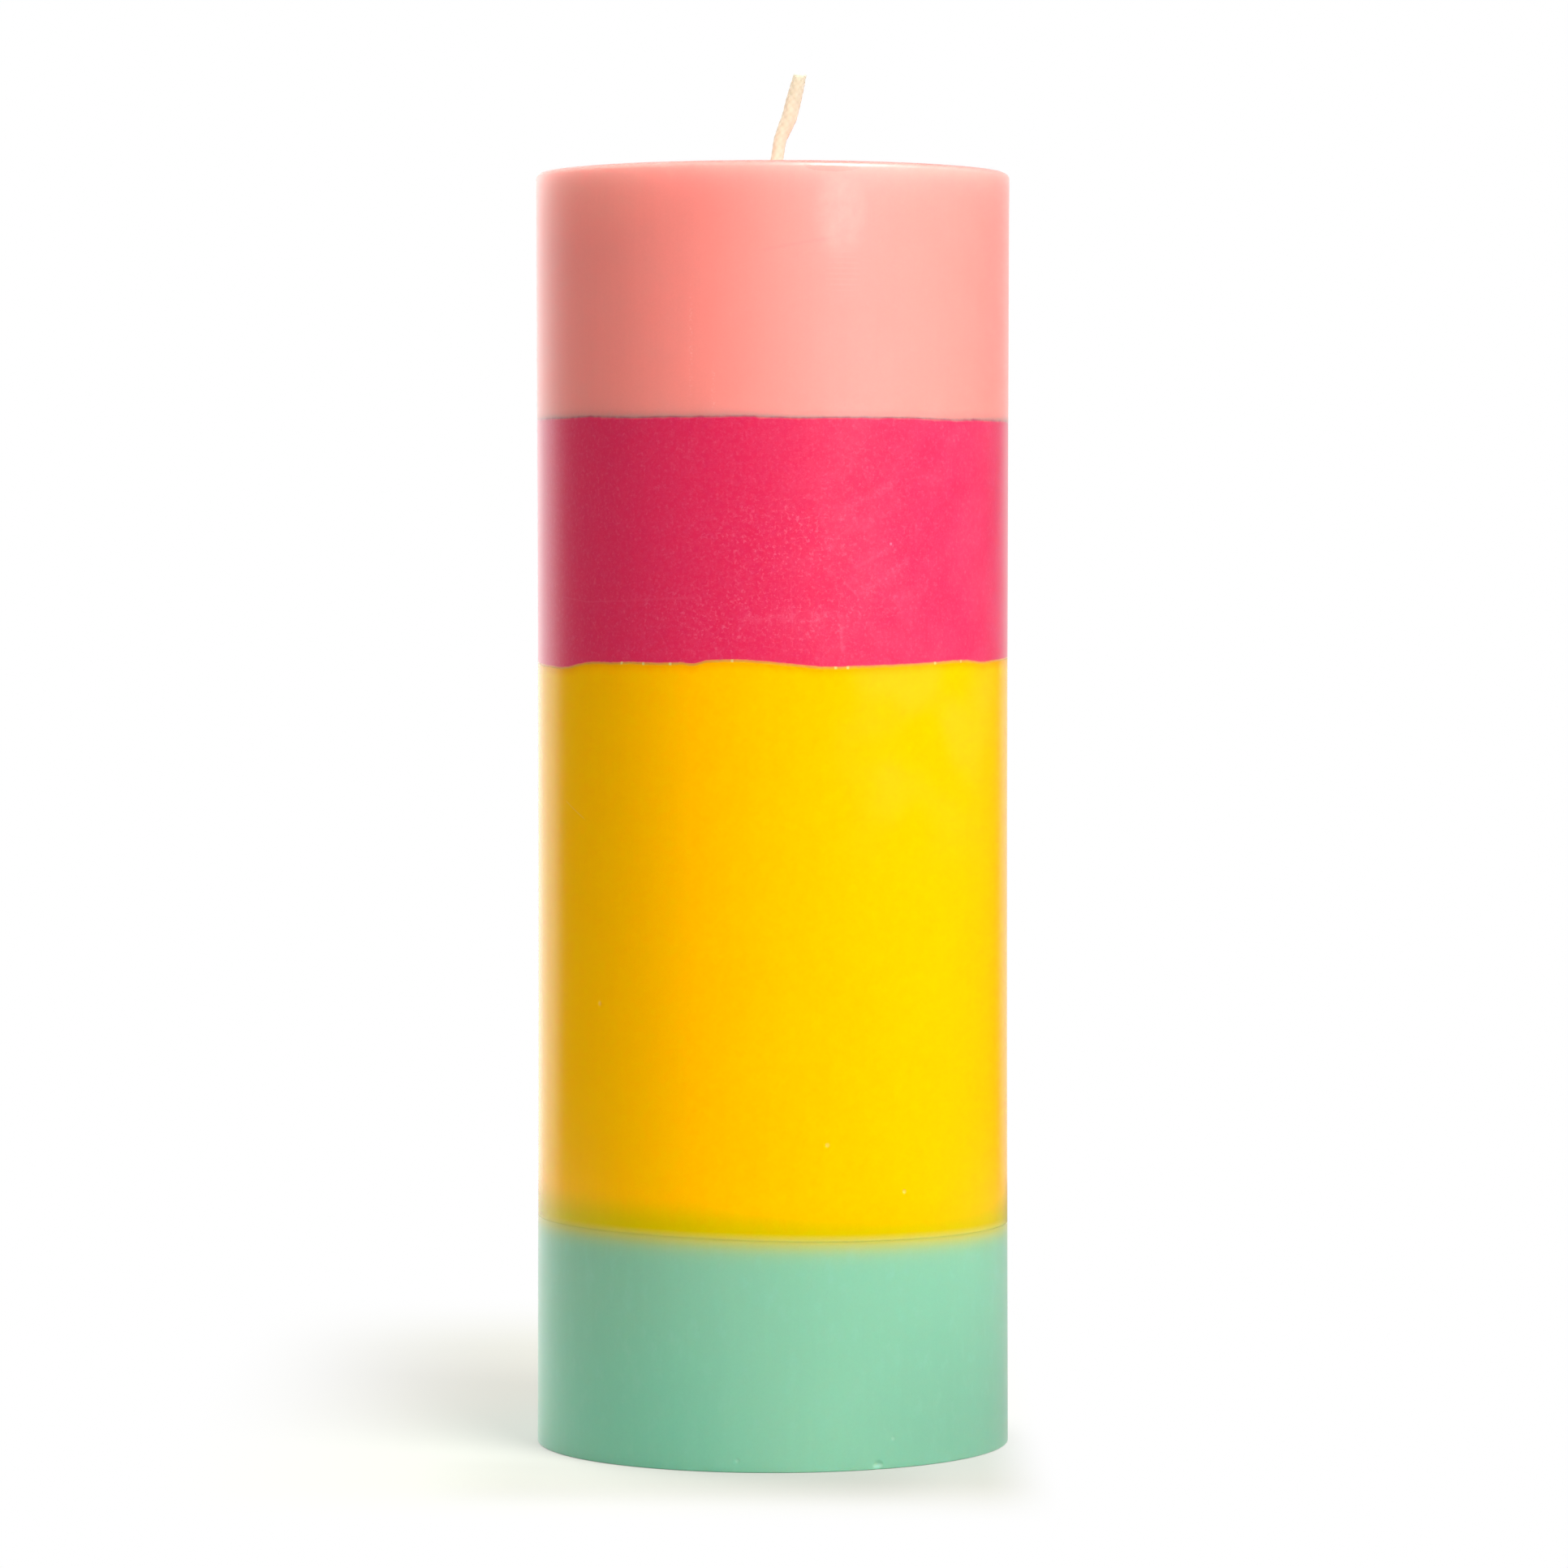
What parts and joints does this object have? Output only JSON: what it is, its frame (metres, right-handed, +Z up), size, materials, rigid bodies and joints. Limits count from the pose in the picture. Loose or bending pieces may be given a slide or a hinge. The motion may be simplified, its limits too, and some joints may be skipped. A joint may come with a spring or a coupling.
{
  "type": "pillar candle",
  "caption": "Tall round pillar candle of stacked coloured wax layers, with a trimmed cotton wick, for standing on a plate or candle holder.",
  "frame": {"origin": "middle of the foot, on the surface that the candle stands on", "axes": "+Z up along the candle and its wick, -Y towards the front of the picture, +X towards the side that the wick leans to"},
  "size_m": [0.0744, 0.0744, 0.2158],
  "materials": {
    "mint_wax": "smooth wax, satin, slightly translucent",
    "yellow_wax": "smooth wax, satin, slightly translucent",
    "magenta_wax": "smooth wax with a fine frosted bloom and light scratches, satin",
    "pink_wax": "smooth wax, satin, slightly translucent",
    "waxed_cotton": "braided cotton soaked in wax",
    "tab_steel": "tinned, stamped"
  },
  "bodies": {
    "root": {"mint_layer": "mint_wax", "yellow_layer": "yellow_wax", "magenta_layer": "magenta_wax", "pink_layer": "pink_wax", "wick": "waxed_cotton", "wick_sustainer": "tab_steel"}
  },
  "joints": []
}
